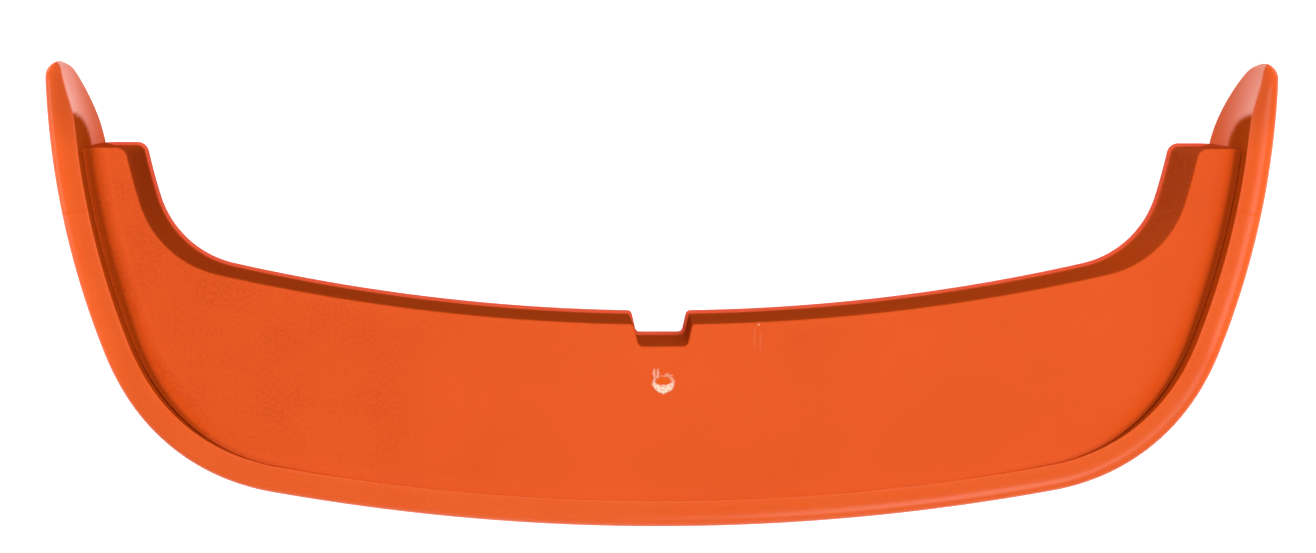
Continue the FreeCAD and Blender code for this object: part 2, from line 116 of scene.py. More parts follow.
def unit(angle):
    """Unit vectors at angles, as rows."""
    return np.stack([np.cos(angle), np.sin(angle)], -1)


class Smile:
    """A family of parallel smile curves.

    The bottom circle is centred on the Y axis, the side circle on the height of the widest point,
    and the corner circle touches both from inside, so its centre is where two circles about theirs
    meet, with radii less by the corner radius.
    """

    def __init__(self, half_width, widest, lowest, bottom_radius, corner_radius, side_radius):
        bottom = np.array([0, lowest + bottom_radius])
        side = np.array([half_width - side_radius, widest])
        to_bottom = bottom_radius - corner_radius
        to_side = side_radius - corner_radius
        span = side - bottom
        length = np.hypot(*span)
        along = (to_bottom ** 2 - to_side ** 2 + length ** 2) / (2 * length)
        across = math.sqrt(to_bottom ** 2 - along ** 2)
        square = np.array([span[1], -span[0]]) / length
        choices = [bottom + span / length * along + square * sign * across for sign in (-1, 1)]
        corner = max(choices, key=lambda point: point[0])
        self.centres = np.array([bottom, corner, side])
        self.radii = np.array([bottom_radius, corner_radius, side_radius])
        self.low = math.atan2(*(corner - bottom)[::-1])
        self.high = math.atan2(*(corner - side)[::-1])
        self.turns = np.array([self.low + math.pi / 2, self.high - self.low])
        self.joints = np.cumsum(self.radii[:2] * self.turns)

    def at(self, run, offset):
        """Points a signed run along the curve from its middle, moved inward by offset."""
        reach = np.abs(run)
        arc = np.searchsorted(self.joints, reach)
        starts = np.array([-math.pi / 2, self.low, self.high])[arc]
        before = np.array([0, *self.joints])[arc]
        angle = starts + (reach - before) / self.radii[arc]
        points = self.centres[arc] + (self.radii[arc] - offset)[..., None] * unit(angle)
        points[..., 0] *= np.where(run < 0, -1, 1)
        return points

    def run_to(self, height, offset=0.0):
        """Run along the curve at which the side arc, moved inward by offset, reaches a height."""
        angle = math.asin((height - self.centres[2][1]) / (self.radii[2] - offset))
        return self.joints[1] + (angle - self.high) * self.radii[2]

    def depth(self, x, y):
        """How far points lie inside the curve, measured square to it."""
        x = np.abs(x)
        corner = self.centres[1]
        angle = np.arctan2(y - corner[1], x - corner[0])
        arc = np.where(angle < self.low, 0, np.where(angle > self.high, 2, 1))
        centres = self.centres[arc]
        return self.radii[arc] - np.hypot(x - centres[..., 0], y - centres[..., 1])


outer = Smile(HALF_WIDTH, WIDEST, DATUM, BOTTOM_RADIUS, CORNER_RADIUS, SIDE_RADIUS)
mouth = Smile(
    MOUTH_HALF_WIDTH, MOUTH_WIDEST, MOUTH_LOWEST,
    MOUTH_BOTTOM_RADIUS, MOUTH_CORNER_RADIUS, MOUTH_SIDE_RADIUS,
)


def flank(y):
    """0 along the bottom of the U, 1 up its arms."""
    return smooth(DATUM + 16 * MM, DATUM + 60 * MM, y)


def rim_reach(points):
    """How far inside the outer curve the front of the rim ends, beside points of the plan."""
    return RIM_WIDTH + SIDE_INSET * flank(points[..., 1])


def line(start, end, count):
    """Points from start up to, but not including, end."""
    t = np.linspace(0, 1, count, endpoint=False)[:, None]
    return np.asarray(start) * (1 - t) + np.asarray(end) * t


def arc(centre, radius, start, end, count):
    """Points round a circle from one angle up to, but not including, another."""
    return centre + radius * unit(np.linspace(start, end, count, endpoint=False))


def bend(before, corner, after, reach, count):
    """Rounds a corner with a parabola that leaves both its sides at reach from the corner."""
    before, corner, after = (np.asarray(point, float) for point in (before, corner, after))
    start = corner + (before - corner) * reach / np.hypot(*(before - corner))
    end = corner + (after - corner) * reach / np.hypot(*(after - corner))
    t = np.linspace(0, 1, count, endpoint=False)[:, None]
    return start * (1 - t) ** 2 + corner * 2 * t * (1 - t) + end * t * t, start, end


def mouth_path(inset):
    """Free edge of the tray from the rim's left inner side, along the left shoulder, down the arm,
    through the notch and up the right arm to the rim, moved into the material by inset."""
    top = SHOULDER - inset
    side_centre, corner_centre, bottom_centre = mouth.centres[2], mouth.centres[1], mouth.centres[0]
    side_radius, corner_radius, bottom_radius = mouth.radii[::-1] + inset
    shoulder_round = max(4 * MM - inset, 0.6 * MM)
    far = side_radius + shoulder_round
    round_y = top - shoulder_round
    round_x = side_centre[0] + math.sqrt(far ** 2 - (round_y - side_centre[1]) ** 2)
    turn = math.atan2(round_y - side_centre[1], round_x - side_centre[0])
    reach = RIM_WIDTH + SIDE_INSET + RIM_GAP + inset
    rim_side = outer.at(np.array([outer.run_to(top, reach)]), reach)[0]
    floor_y = MOUTH_LOWEST - NOTCH_DEPTH - inset
    top_half = NOTCH_TOP_HALF + inset
    top_y = bottom_centre[1] - math.sqrt(bottom_radius ** 2 - top_half ** 2)
    lip = (top_half, top_y)
    sill = (NOTCH_FLOOR_HALF + inset, floor_y)
    on_arc = bottom_centre + bottom_radius * unit(np.array([-math.pi / 2 + 0.03]))[0]
    sill_bend, sill_in, sill_out = bend((0, floor_y), sill, lip, 1.7 * MM, 8)
    lip_bend, lip_in, lip_out = bend(sill, lip, on_arc, 1.3 * MM, 7)
    lip_angle = math.atan2(lip_out[1] - bottom_centre[1], lip_out[0])
    half = np.concatenate([
        line((0, floor_y), sill_in, 24),
        sill_bend,
        line(sill_out, lip_in, 8),
        lip_bend,
        arc(bottom_centre, bottom_radius, lip_angle, mouth.low, 96),
        arc(corner_centre, corner_radius, mouth.low, mouth.high, 30),
        arc(side_centre, side_radius, mouth.high, turn, 16),
        arc(np.array([round_x, round_y]), shoulder_round, turn + math.pi, math.pi / 2, 10),
        line((round_x, top), rim_side, 12),
        [rim_side],
    ])
    path = np.concatenate([half[:0:-1] * [-1, 1], half])
    path[:, 0] -= NOTCH_SHIFT * smooth(26 * MM, 12 * MM, np.abs(path[:, 0]))
    return path


# ---------------------------------------------------------------- heights

def bead_top(y):
    """Height of the crest of the bead: nearly level with the panel at the bottom, proud at the sides."""
    low = PANEL_TOP + 1 * MM
    crest = low + (BEAD_TOP - low) * smooth(DATUM + 4 * MM, DATUM + 62 * MM, y)
    droop = np.clip((y - (EAR_TOP - 9 * MM)) / (9 * MM), 0, 1)
    seam = 0.12 * MM * np.exp(-((y - SEAM_Y) / (0.4 * MM)) ** 2)
    return crest - seam - 3 * MM * (1 - np.sqrt(np.clip(1 - droop ** 2, 0, 1)))


def gate_mark(x, y):
    """Height of the gate mark over the panel: a dished pit, a torn crescent lip below it and two short
    nicks above its left side."""
    u = (x - GATE[0]) / MM
    v = (y - GATE[1]) / MM
    pit = np.clip(1 - (u / 2.8) ** 2 - ((v - 0.2) / 1.5) ** 2, 0, 1)
    lip = smooth(4.3, 3.5, np.hypot(u, v + 0.3)) * smooth(0.85, 1.1, np.hypot(u / 2.9, (v - 0.2) / 1.5))
    lip = lip * smooth(2.2, 0.8, v)
    nicks = sum(np.exp(-((u - side) / 0.38) ** 2) * smooth(0.9, 1.7, v) * smooth(5.4, 3.8, v)
                for side in (-3.2, -1.9))
    return (0.5 * lip + 0.2 * nicks - 0.8 * pit ** 0.8) * MM


def panel_height(x, y):
    """Front of the panel: flat, with a gutter beside the rim that deepens up the arms."""
    near_rim = 1 - beside_rim(x, y)
    deep = GUTTER_DEPTH * smooth(DATUM + 12 * MM, DATUM + 62 * MM, y)
    flush = 0.9 * MM * (1 - smooth(DATUM + 10 * MM, DATUM + 40 * MM, y))
    return PANEL_TOP - deep * near_rim ** 1.7 + flush * near_rim ** 3 + gate_mark(x, y)


def beside_rim(x, y):
    """0 against the rim, 1 from the far side of the gutter on."""
    from_rim = outer.depth(x, y) - RIM_WIDTH - SIDE_INSET * flank(y)
    return np.clip(from_rim / GUTTER_WIDTH, 0, 1)


# ---------------------------------------------------------------- meshes

def make_piece(name, points, faces, node=None, tags=None):
    """Puts a mesh into the scene as a piece of the object, with smooth shading. Each tag is a number
    stored at every vertex, for the piece's material."""
    mesh = bpy.data.meshes.new(name)
    mesh.from_pydata(points.tolist(), [], faces.tolist())
    for tag, values in (tags or {}).items():
        mesh.attributes.new(tag, "FLOAT", "POINT").data.foreach_set("value", values.ravel())
    weld(mesh)
    mesh.polygons.foreach_set("use_smooth", np.ones(len(mesh.polygons), bool))
    piece = bpy.data.objects.new(name, mesh)
    bpy.context.scene.collection.objects.link(piece)
    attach(piece, "root")
    if node:
        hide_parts(node)
    return piece


def weld(mesh):
    """Joins doubled points, drops collapsed faces and turns every face outward."""
    import bmesh
    bm = bmesh.new()
    bm.from_mesh(mesh)
    bmesh.ops.remove_doubles(bm, verts=bm.verts, dist=2e-6)
    bmesh.ops.recalc_face_normals(bm, faces=bm.faces)
    bm.to_mesh(mesh)
    bm.free()
    mesh.update()


def ring_faces(rows, columns):
    """Quads of a grid of rows by columns whose columns close on themselves."""
    index = np.arange(rows * columns).reshape(rows, columns)
    following = np.roll(index, -1, 1)
    quads = [index[:-1], index[1:], following[1:], following[:-1]]
    return np.stack([part.ravel() for part in quads], -1)


def lift(plan, height):
    """Adds heights to points of the plan."""
    return np.concatenate([plan, np.broadcast_to(height, plan.shape[:-1])[..., None]], -1)


def tray_points():
    """The tray as rings of points: each ring goes from the rim over the panel to the mouth edge,
    down the mouth wall, round its back edge, up inside, back under the panel and round the skirt."""
    edge = mouth_path(0.0)
    inner = mouth_path(WALL)
    count = len(edge)
    ends = np.linspace(0, 1, count)
    step = np.hypot(*(np.diff(edge, axis=0)).T)
    share = np.concatenate([[0], np.cumsum(step)]) / step.sum()
    share = 0.25 * ends + 0.75 * share
    side_reach = RIM_WIDTH + SIDE_INSET + RIM_GAP
    skirt_run = outer.run_to(SHOULDER, side_reach) * (2 * share - 1)
    skirt = outer.at(skirt_run, rim_reach(outer.at(skirt_run, side_reach)) + RIM_GAP)
    inside_run = outer.run_to(SHOULDER - WALL, side_reach + WALL) * (2 * share - 1)
    inside = outer.at(inside_run, rim_reach(outer.at(inside_run, side_reach)) + RIM_GAP + WALL)

    tangent = np.gradient(edge, axis=0)
    normal = np.stack([-tangent[:, 1], tangent[:, 0]], -1)
    normal /= np.hypot(*normal.T)[:, None]
    round_edge = 0.7 * MM
    shrink = smooth(0, 4, np.minimum(np.arange(count), np.arange(count)[::-1]))[:, None]
    lip = edge - normal * round_edge * shrink

    across = spread(74, lambda v: 1 + 5 * np.exp(-v / 0.12) + 3.2 * np.exp(-((v - 0.67) / 0.07) ** 2))
    rows = []
    for v in across:
        plan = skirt * (1 - v) + lip * v
        rows.append(lift(plan, panel_height(plan[:, 0], plan[:, 1])))
    rim_z = rows[-1][:, 2]
    for angle in np.radians([22.5, 45, 67.5, 90]):
        plan = lip + (edge - lip) * math.sin(angle)
        rows.append(lift(plan, rim_z - round_edge * (1 - math.cos(angle))))
    foot = WALL / 2
    flared = edge + normal * 0.2 * MM * shrink
    leaning = edge - normal * LEDGE * shrink
    for t in np.linspace(0, 1, 10)[1:]:
        rows.append(lift(edge * (1 - t) + leaning * t, (rim_z - round_edge) * (1 - t) + 1.8 * foot * t))
    for t in (0.12, 0.5, 0.88):
        rows.append(lift(leaning * (1 - t) + flared * t, foot * (1.6 - 0.25 * t)))
    for angle in np.radians([15, 35, 60, 90, 120, 150]):
        plan = (flared + inner) / 2 + (flared - inner) / 2 * math.cos(angle)
        rows.append(lift(plan, foot * (1 - math.sin(angle))))
    for t in np.linspace(0, 1, 5):
        top = panel_height(inner[:, 0], inner[:, 1]) - WALL
        rows.append(lift(inner, foot * (1 - t) + top * t))
    for v in np.linspace(0, 1, 14)[1:]:
        plan = inner * (1 - v) + inside * v
        rows.append(lift(plan, panel_height(plan[:, 0], plan[:, 1]) - WALL))
    for t in np.linspace(0, 1, 5)[1:]:
        rows.append(lift(drafted(inside, t), rows[-1][:, 2] * 0 + (PANEL_TOP - WALL) * (1 - t) + foot * t))
    for angle in np.radians([30, 60, 90, 120, 150]):
        plan = drafted(inside, 1) * (1 + math.cos(angle)) / 2 + drafted(skirt, 1) * (1 - math.cos(angle)) / 2
        rows.append(lift(plan, foot * (1 - math.sin(angle))))
    start = rows[0][:, 2]
    for t in np.linspace(0, 1, 6)[:-1]:
        rows.append(lift(drafted(skirt, 1 - t), foot * (1 - t) + start * t))
    return np.stack(rows, 1)


def drafted(plan, t):
    """Leans a skirt inward toward its back edge, by the rim's draft times t."""
    lean = RIM_DRAFT - SIDE_INSET * flank(plan[:, 1])
    return plan + inward(plan) * (lean * t)[:, None]


def inward(plan):
    """Unit vectors square to the outer curve, pointing into the guard."""
    x, y = np.abs(plan[:, 0]), plan[:, 1]
    corner = outer.centres[1]
    angle = np.arctan2(y - corner[1], x - corner[0])
    arcs = np.where(angle < outer.low, 0, np.where(angle > outer.high, 2, 1))
    way = outer.centres[arcs] - np.stack([x, y], -1)
    way /= np.hypot(*way.T)[:, None]
    way[:, 0] *= np.sign(plan[:, 0])
    return way


def ear_back(y):
    """Height of the back edge of the rim: on the ground up to the shoulder, then up an arc to the tip."""
    foot = np.array([SHOULDER, 0.0])
    tip = np.array([EAR_TOP, PANEL_TOP - 2 * MM])
    radius = 80 * MM
    chord = tip - foot
    length = np.hypot(*chord)
    normal = np.array([-chord[1], chord[0]]) / length
    centre = (foot + tip) / 2 + normal * math.sqrt(radius ** 2 - length ** 2 / 4)
    reach = np.clip(y, foot[0], tip[0]) - centre[0]
    return centre[1] - np.sqrt(radius ** 2 - reach ** 2)


def rim_points():
    """The rim as rings of points: up the inner face, over the crown of the bead, down its outer side,
    under it to the thin wall, down the wall and round its back edge."""
    last = outer.run_to(EAR_TOP - 0.02 * MM)
    seam_run = (outer.run_to(SEAM_Y) / last + 1) / 2
    side = lambda t: np.maximum(t, 1 - t)
    density = lambda t: 1 + 9 * np.exp((side(t) - 1) / 0.006) + 9 * np.exp(-((side(t) - seam_run) / 0.0016) ** 2)
    runs = last * (2 * spread(500, density) - 1)
    base = outer.at(runs, np.zeros_like(runs))
    y = base[:, 1]
    tip = np.clip((y - (EAR_TOP - 5.4 * MM)) / (5.4 * MM), 0, 1)
    near = 5.0 * MM * (1 - np.sqrt(np.clip(1 - tip ** 2, 0, 1))) + (2.0 * flank(y) - 1.3) * MM
    far = rim_reach(base) - 4.2 * MM * smooth(DATUM + 139 * MM, DATUM + 165 * MM, y)
    far = np.maximum(far, near)
    closing = np.sqrt(1 - tip ** 6)
    far = near + (far - near) * closing
    back = ear_back(y)
    top = bead_top(y)
    merge = smooth(20 * MM, 40 * MM, back)
    far_back = RIM_WIDTH + RIM_DRAFT * (1 - smooth(DATUM + 136 * MM, DATUM + 168 * MM, y) * 1.6)
    far_back = np.maximum(far_back, far) * closing + near * (1 - closing)
    wall = np.minimum(WALL, far - near) * (1 - merge) + (far - near) * 0.8 * merge
    rings = []

    def ring(offset, height):
        rings.append(lift(outer.at(runs, offset), height))

    foot = np.minimum(1.4 * MM, (top - back) * 0.2)
    front_edge = np.minimum((0.12 + 0.2 * flank(y)) * MM, (far - near) * 0.2)
    slope = lambda z: (np.clip((top - z) / np.maximum(top - back, 1 * MM), 0, 1)) ** 0.8
    for t in np.linspace(0, 1, INNER_RINGS):
        z = (back + foot) * (1 - t) + (top - front_edge) * t
        ring(far + (far_back - far) * slope(z), z)
    for angle in np.radians([22.5, 45, 67.5, 90]):
        ring(far - front_edge * (1 - math.cos(angle)), top - front_edge * (1 - math.sin(angle)))
    drop = np.minimum(CROWN_DROP, (top - back) * 0.5)
    width = far - front_edge - near
    for angle in np.radians(np.linspace(0, 90, 23)[1:]):
        across, level = math.sin(angle) ** (2 / CROWN_SQUARENESS), math.cos(angle) ** (2 / CROWN_SQUARENESS)
        ring(near + width * (1 - across), top - drop * (1 - level))
    floor = np.maximum(BEAD_FLOOR + 0 * y, back + 0.4 * MM)
    floor = np.minimum(floor, top - drop - 1 * MM)
    under = np.minimum(2.4 * MM, width * 0.3)
    for t in (0.35, 0.7, 1.0):
        ring(near, (top - drop) * (1 - t) + (floor + under) * t)
    for angle in np.radians([30, 60, 90]):
        ring(near + under * (1 - math.cos(angle)), floor + under * (1 - math.sin(angle)))
    wall_out = far - wall + (far_back - far) * slope(floor)
    for t in (0.5, 1.0):
        ring((near + under) * (1 - t) + np.maximum(wall_out, near + under) * t, floor)
    wall_foot = np.maximum(far_back - wall, near + under * merge)
    for t in (0.33, 0.66, 1.0):
        z = floor * (1 - t) + np.minimum(back + foot, floor) * t
        ring(np.maximum(wall_out, near + under) * (1 - t) + wall_foot * t, z)
    inner_foot = far + (far_back - far) * slope(back + foot)
    for angle in np.radians([36, 72, 108, 144]):
        middle, half = (wall_foot + inner_foot) / 2, (inner_foot - wall_foot) / 2
        ring(middle - half * math.cos(angle), back + foot * (1 - math.sin(angle)))
    return np.stack(rings, 1)


def boss_points(column):
    """A boss as rings round its own axis: a round post that flares into the panel, with a rounded
    mouth and a blind bore for its insert."""
    flare = [(BOSS_RADIUS + 1.5 * MM * (1 - math.sin(a)), SUNK_TOP - 0.6 * MM - 1.5 * MM * (1 - math.cos(a)))
             for a in np.linspace(0, math.pi / 2, 6)]
    mouth_round = [(BOSS_RADIUS - 0.6 * MM * (1 - math.cos(a)), BOSS_FLOOR + 0.6 * MM * (1 - math.sin(a)))
                   for a in np.linspace(0, math.pi / 2, 5)]
    bore = [(INSERT_RADIUS + 0.3 * MM, BOSS_FLOOR), (INSERT_RADIUS, BOSS_FLOOR + 0.3 * MM),
            (INSERT_RADIUS, BOSS_FLOOR + INSERT_LENGTH), (0, BOSS_FLOOR + INSERT_LENGTH)]
    profile = np.array([(0, SUNK_TOP), (flare[0][0], SUNK_TOP), *flare, *mouth_round, *bore])
    around = unit(np.linspace(0, 2 * math.pi, 48, endpoint=False))
    return lift(np.array([column, BOSS_Y]) + profile[:, :1, None] * around, profile[:, 1:])


def rib_points(start, end):
    """A rib as rings: an upright oblong section with a rounded free edge, carried from start to end in
    the plan and closed to a point at both."""
    along = (end - start) / np.hypot(*(end - start))
    half = RIB_THICKNESS / 2
    angles = np.linspace(0, math.pi, 9)
    sideways = np.concatenate([half * np.cos(angles), [-half, half]])
    heights = np.concatenate([RIB_FLOOR + half - half * np.sin(angles), [SUNK_TOP, SUNK_TOP]])
    middle = (RIB_FLOOR + SUNK_TOP) / 2
    stations = np.array([0, 0, 1, 1])[:, None, None]
    open_out = np.array([0, 1, 1, 0])[:, None]
    plan = start + (end - start) * stations + np.array([-along[1], along[0]]) * (sideways * open_out)[..., None]
    return lift(plan, middle + (heights - middle) * open_out)


def rib_ends(column):
    """Plan points where a rib across the panel sinks half-way into the two walls."""
    rows = np.linspace(DATUM, MOUTH_LOWEST + 40 * MM, 2000)
    low = np.interp(RIM_WIDTH + WALL / 2, outer.depth(column + 0 * rows, rows), rows)
    high = np.interp(-WALL / 2, mouth.depth(column + 0 * rows, rows), rows)
    return np.array([column, low]), np.array([column, high])


def arm_rib_ends(sign):
    """Plan points where the rib across an arm sinks half-way into the two walls."""
    columns = np.linspace(HALF_WIDTH * 0.7, HALF_WIDTH, 2000)
    far = np.interp(-RIM_WIDTH - SIDE_INSET - WALL / 2, -outer.depth(columns, ARM_RIB_Y + 0 * columns), columns)
    near = np.interp(WALL / 2, -mouth.depth(columns, ARM_RIB_Y + 0 * columns), columns)
    return np.array([near * sign, ARM_RIB_Y]), np.array([far * sign, ARM_RIB_Y])


def capped(points):
    """Closes a strip of rings with a point in the middle of its first ring and of its last."""
    ends = [np.broadcast_to(points[row].mean(0), points[:1].shape) for row in (0, -1)]
    return np.concatenate([ends[0], points, ends[1]])


def grid_piece(name, points, node=None, tags=None):
    """A piece from rings of points."""
    rows, columns = points.shape[:2]
    return make_piece(name, points.reshape(-1, 3), ring_faces(rows, columns), node, tags)


# ---------------------------------------------------------------- materials

class Wire:
    """A socket, or a number, that arithmetic turns into Math nodes."""

    tree = None

    def __init__(self, socket):
        self.socket = socket

    @classmethod
    def node(cls, kind, settings=None, inputs=None, output=0):
        """Adds a node: its settings first, then the values or links of its sockets."""
        node = cls.tree.nodes.new(kind)
        for key, value in (settings or {}).items():
            if key == "ramp":
                ramp = node.color_ramp
                for index, (place, colour) in enumerate(value):
                    if index >= len(ramp.elements):
                        ramp.elements.new(place)
                    ramp.elements[index].position = place
                    ramp.elements[index].color = colour
            else:
                setattr(node, key, value)
        for key, value in (inputs or {}).items():
            if isinstance(value, Wire):
                cls.tree.links.new(value.socket, node.inputs[key])
            else:
                node.inputs[key].default_value = value
        return cls(node.outputs[output])

    def math(self, operation, *others):
        values = [self, *others]
        return Wire.node("ShaderNodeMath", {"operation": operation}, dict(enumerate(values)))

    def __add__(self, other):
        return self.math("ADD", other)

    def __radd__(self, other):
        return self.math("ADD", other)

    def __sub__(self, other):
        return self.math("SUBTRACT", other)

    def __rsub__(self, other):
        return (self * -1).math("ADD", other)

    def __mul__(self, other):
        return self.math("MULTIPLY", other)

    def __rmul__(self, other):
        return self.math("MULTIPLY", other)

    def __truediv__(self, other):
        return self.math("DIVIDE", other)

    def __pow__(self, other):
        return self.math("POWER", other)

    def rise(self, low, high):
        """0 below low, 1 above high, smooth between."""
        settings = {"interpolation_type": "SMOOTHSTEP"}
        return Wire.node("ShaderNodeMapRange", settings, {"Value": self, 1: low, 2: high, 3: 0.0, 4: 1.0})


def mix(amount, first, second):
    """Blends two colours."""
    settings = {"data_type": "RGBA"}
    return Wire.node("ShaderNodeMix", settings, {0: amount, 6: first, 7: second}, output=2)


def place():
    """X, Y and Z of the surface point, in metres, and the point itself."""
    point = Wire.node("ShaderNodeTexCoord", output=3)
    split = [Wire.node("ShaderNodeSeparateXYZ", None, {0: point}, output=axis) for axis in range(3)]
    return (*split, point)


def tagged(name):
    """A number stored at the vertices of the piece."""
    return Wire.node("ShaderNodeAttribute", {"attribute_name": name}, output=2)


def grain(point, size, detail=2.0, stretch=None):
    """Soft noise whose features are about size across."""
    if stretch:
        point = Wire.node("ShaderNodeMapping", None, {"Vector": point, "Scale": stretch})
    inputs = {"Vector": point, "Scale": 1 / size, "Detail": detail}
    return Wire.node("ShaderNodeTexNoise", None, inputs)


def material(name, paint):
    """A Principled material whose colour, roughness and bump come from paint(set_input)."""
    made = bpy.data.materials.new(name)
    made.use_nodes = True
    Wire.tree = made.node_tree
    shader = made.node_tree.nodes["Principled BSDF"]

    def feed(**values):
        for key, value in values.items():
            socket = shader.inputs[key.replace("_", " ")]
            if isinstance(value, Wire):
                made.node_tree.links.new(value.socket, socket)
            else:
                socket.default_value = value
    paint(feed)
    return made


def bump(height, strength, distance):
    """Surface relief from a height."""
    inputs = {"Height": height, "Strength": strength, "Distance": distance}
    return Wire.node("ShaderNodeBump", None, inputs)


ORANGE = (0.68, 0.082, 0.010, 1)
RIM_ORANGE = (0.595, 0.080, 0.010, 1)
EAR_ORANGE = (0.48, 0.062, 0.008, 1)
DULL_ORANGE = (0.58, 0.064, 0.007, 1)
SHADE_ORANGE = (0.26, 0.031, 0.002, 1)
WHITENED = (0.85, 0.66, 0.50, 1)
LEDGE_GLINT_ORANGE = (0.86, 0.105, 0.045, 1)
CREST_GLINT_ORANGE = (0.80, 0.12, 0.02, 1)
AMBER = (0.70, 0.115, 0.012, 1)
# how deep the painted shade of the gutter is at distances from the rim
GUTTER_SHADE_AWAY = np.array([0, 1.2, 2.4, 3.1, 3.9, 5.0, 6.4]) * MM
GUTTER_SHADE_DEPTH = np.array([0.45, 0.80, 0.92, 0.62, 0.32, 0.14, 0.0])
# left, right, lowest and highest millimetre from the gate, and strength, of marks left by the tool
WITNESS_MARKS = [
    (-0.6, 3.4, 1.8, 2.1, 0.4), (0.6, 1.3, 2.1, 2.9, 0.3),
    (31.9, 32.2, 12.5, 19.0, 0.05), (34.0, 34.3, 11.0, 17.5, 0.04), (33.2, 33.7, 19.7, 20.3, 0.4),
]


def paint_tray(feed):
    """Spark-textured orange moulding, dustier to the left, stress-whitened round the gate, with painted shade in
    the gutters and painted highlights along the left gutter's crest and the back ledge.
    """
    x, y, z, point = place()
    cloud = grain(point, 60 * MM, 3.0).rise(0.35, 0.7) + grain(point, 9 * MM, 3.0).rise(0.5, 0.75) * 0.35
    speck = grain(point, 1.1 * MM, 2.0)
    left = (x * -1).rise(0.0, 0.17)
    smudge = grain(point, 22 * MM, 5.0).rise(0.45, 0.62) * speck.rise(0.35, 0.6)
    dust = (speck.rise(0.42, 0.66) * 0.7 + smudge * 0.6) * left
    colour = mix(cloud * 0.3 + dust * 0.55, ORANGE, DULL_ORANGE)
    # painted shade: the gutter beside the rim is darkened toward SHADE_ORANGE, fading over the panel
    colour = mix(tagged("gutter") * (speck * 0.3 + 0.85), colour, SHADE_ORANGE)
    # painted highlight: a brighter orange line along the crest of the left gutter
    colour = mix(tagged("crest") * speck.rise(0.4, 0.65) * 0.35, colour, CREST_GLINT_ORANGE)
    scuffed = speck.rise(0.5, 0.68) * x.rise(0.168, 0.18) * (1 - z.rise(PANEL_TOP - 3 * MM, PANEL_TOP - 2 * MM))
    colour = mix(scuffed * 0.06, colour, WHITENED)
    u = (x - float(GATE[0])) / MM + grain(point, 2.2 * MM, 3.0) * 1.4 - 0.7
    v = (y - float(GATE[1])) / MM + grain(point, 1.7 * MM, 3.0) * 1.4 - 0.7
    outside = (u ** 2 + (v + 0.3) ** 2) ** 0.5
    within = ((u / 2.9) ** 2 + ((v - 0.2) / 1.5) ** 2) ** 0.5
    lip = (1 - outside.rise(3.5, 4.2)) * within.rise(0.85, 1.1) * (1 - v.rise(0.8, 2.2))
    torn = grain(point, 0.8 * MM, 2.0).rise(0.32, 0.6) * 0.6 + 0.4
    white = lip * torn * (1 - v.rise(-3.0, 1.6) * 0.6)
    bowl = (1 - within.rise(0.8, 1.0)) * 0.8
    for side in (-3.2, -1.9):
        across = (u - side).math("ABSOLUTE")
        nick = (1 - across.rise(0.2, 0.6)) * v.rise(0.9, 1.7) * (1 - v.rise(3.6, 5.2))
        white = white + nick * 0.4
    for left, right, low, high, strength in WITNESS_MARKS:
        strip = u.rise(left - 0.3, left) * (1 - u.rise(right, right + 0.3))
        strip = strip * v.rise(low - 0.3, low + 0.3) * (1 - v.rise(high - 0.3, high + 0.3))
        white = white + strip * strength
    colour = mix(bowl, colour, AMBER)
    white = white.math("MINIMUM", 1.0) * z.rise(PANEL_TOP - 1.2 * MM, PANEL_TOP - 0.9 * MM)
    # painted highlight: a brighter orange on the tray's lowest 3 mm, along its back edge and ledge
    ledge_glint = (1 - z.rise(2.1 * MM, 2.9 * MM)) * 0.8
    feed(Base_Color=mix(ledge_glint, mix(white, colour, WHITENED), LEDGE_GLINT_ORANGE))
    feed(Roughness=0.58 + grain(point, 4 * MM, 2.0) * 0.16)
    polished = z.rise(PANEL_TOP - 0.4 * MM, PANEL_TOP - 0.1 * MM) * 0.3 + (1 - z.rise(2 * MM, 3 * MM)) * 0.8
    feed(Specular_IOR_Level=0.0, Coat_Weight=polished, Coat_Roughness=0.4)
    feed(Normal=bump(grain(point, 0.55 * MM, 2.0), 0.25, 0.12 * MM))


def paint_rim(feed):
    """Satin orange moulding, a little scuffed below the seams, with painted shade on the low inner wall and in
    an arch on each ear, and a darker orange on the front and outside of the ears.
    """
    x, y, z, point = place()
    cloud = grain(point, 30 * MM, 3.0).rise(0.35, 0.7)
    scuff = grain(point, 1.2 * MM, 4.0).rise(0.4, 0.8) * (1 - y.rise(SEAM_Y - 1 * MM, SEAM_Y + 1 * MM))
    colour = mix(cloud * 0.4, RIM_ORANGE, DULL_ORANGE)
    colour = mix(scuff * 0.015, colour, WHITENED)
    # the front and outside of the ears are darkened to EAR_ORANGE
    colour = mix(tagged("darker_ears"), colour, EAR_ORANGE)
    # painted shade: darker orange on the low inner wall beside the gutter and in an arch on each ear's inner
    # face
    feed(Base_Color=mix(tagged("painted_shade"), colour, SHADE_ORANGE))
    feed(Roughness=0.6, Specular_IOR_Level=0.0)
    feed(Coat_Weight=tagged("polish"), Coat_Roughness=0.22, Coat_IOR=1.32)
    feed(Normal=bump(grain(point, 0.8 * MM, 3.0), 0.25, 0.1 * MM))


def paint_brass(feed):
    """Turned brass."""
    x, y, z, point = place()
    feed(Base_Color=mix(grain(point, 2 * MM), (0.78, 0.53, 0.22, 1), (0.6, 0.38, 0.14, 1)))
    feed(Metallic=1.0, Roughness=0.28 + grain(point, 1 * MM) * 0.15)
    feed(Normal=bump(grain(point, 0.3 * MM, 1.0, (1, 1, 6)), 0.2, 0.05 * MM))


